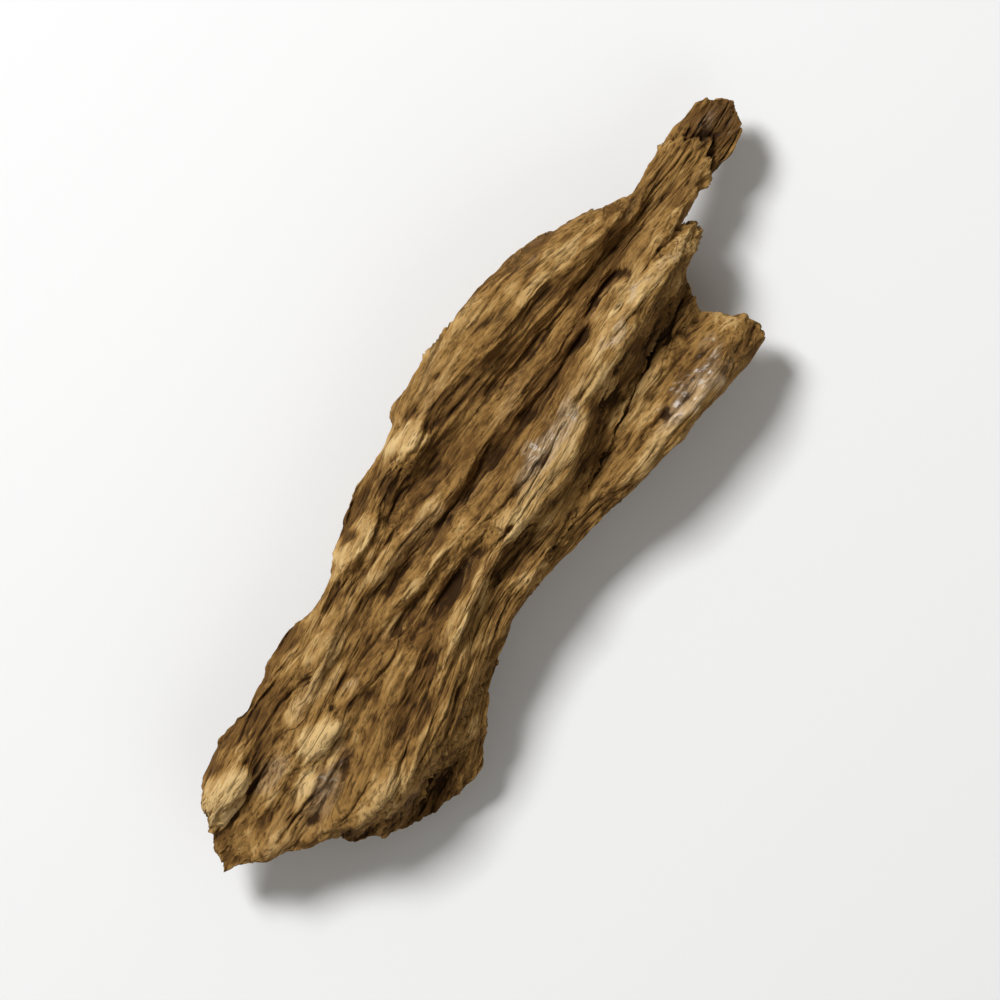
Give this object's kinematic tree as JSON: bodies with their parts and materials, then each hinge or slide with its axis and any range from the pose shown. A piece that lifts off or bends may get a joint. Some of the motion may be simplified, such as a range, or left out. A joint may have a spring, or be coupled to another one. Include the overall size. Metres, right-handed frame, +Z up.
{
  "type": "agarwood chip",
  "caption": "Split chip of agarwood with a fluted, ridged upper face, a fan-shaped broken end, a forked splintered end and a flat-cut underside.",
  "frame": {"origin": "middle of the chip's bounding box in plan, on the plane of its flat underside", "axes": "+X along the grain from the fan-shaped end to the forked end, +Y towards the rounded long side, +Z up from the flat underside"},
  "size_m": [0.042, 0.013, 0.0064],
  "materials": {
    "wood": "dry split agarwood, golden brown with darker resin streaks, matt with a faint sheen on the resinous ridges"
  },
  "bodies": {
    "root": {"agarwood_chip": "wood"}
  },
  "joints": []
}
